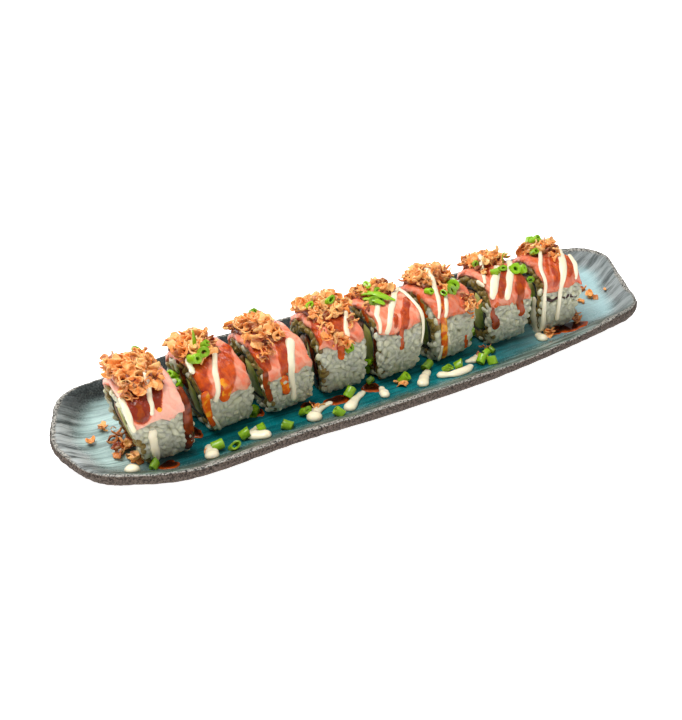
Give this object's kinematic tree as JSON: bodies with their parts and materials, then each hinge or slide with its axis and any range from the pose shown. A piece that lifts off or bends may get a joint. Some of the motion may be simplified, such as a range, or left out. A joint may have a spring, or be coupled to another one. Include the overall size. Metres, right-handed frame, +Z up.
{
  "type": "uramaki roll platter",
  "caption": "Row of inside-out sushi rolls with salmon, crisp onion, glaze and mayonnaise, served together on a long hand-made stoneware plate with a low rim.",
  "frame": {"origin": "under the middle of the plate's outline, on the plane that the foot stands on", "axes": "+X along the plate and the row of rolls, +Y from the front of the row to the back, +Z up"},
  "size_m": [0.357, 0.114, 0.0542],
  "materials": {
    "stoneware": "mottled teal and charcoal glaze, bare rough wall",
    "rice": "moist satin",
    "nori": "dull",
    "avocado": "soft satin",
    "filling": "moist",
    "salmon": "wet and glazed",
    "onion": "crisp, slightly oily",
    "scallion": "fresh, moist",
    "glaze": "thick and glossy",
    "mayonnaise": "creamy satin"
  },
  "bodies": {
    "root": {"plate": "stoneware", "rice_1": "rice", "nori_1": "nori", "avocado_1": "avocado", "filling_1": "filling", "salmon_1": "salmon", "onion_1": "onion", "rice_2": "rice", "nori_2": "nori", "avocado_2": "avocado", "filling_2": "filling", "salmon_2": "salmon", "onion_2": "onion", "rice_3": "rice", "nori_3": "nori", "avocado_3": "avocado", "filling_3": "filling", "salmon_3": "salmon", "onion_3": "onion", "rice_4": "rice", "nori_4": "nori", "avocado_4": "avocado", "filling_4": "filling", "salmon_4": "salmon", "onion_4": "onion", "rice_5": "rice", "nori_5": "nori", "avocado_5": "avocado", "filling_5": "filling", "salmon_5": "salmon", "onion_5": "onion", "rice_6": "rice", "nori_6": "nori", "avocado_6": "avocado", "filling_6": "filling", "salmon_6": "salmon", "onion_6": "onion", "rice_7": "rice", "nori_7": "nori", "avocado_7": "avocado", "filling_7": "filling", "salmon_7": "salmon", "onion_7": "onion", "rice_8": "rice", "nori_8": "nori", "avocado_8": "avocado", "filling_8": "filling", "salmon_8": "salmon", "onion_8": "onion", "mayo_1": "mayonnaise", "mayo_2": "mayonnaise", "mayo_3": "mayonnaise", "mayo_4": "mayonnaise", "mayo_5": "mayonnaise", "mayo_6": "mayonnaise", "mayo_7": "mayonnaise", "mayo_8": "mayonnaise", "mayo_9": "mayonnaise", "mayo_10": "mayonnaise"}
  },
  "joints": []
}
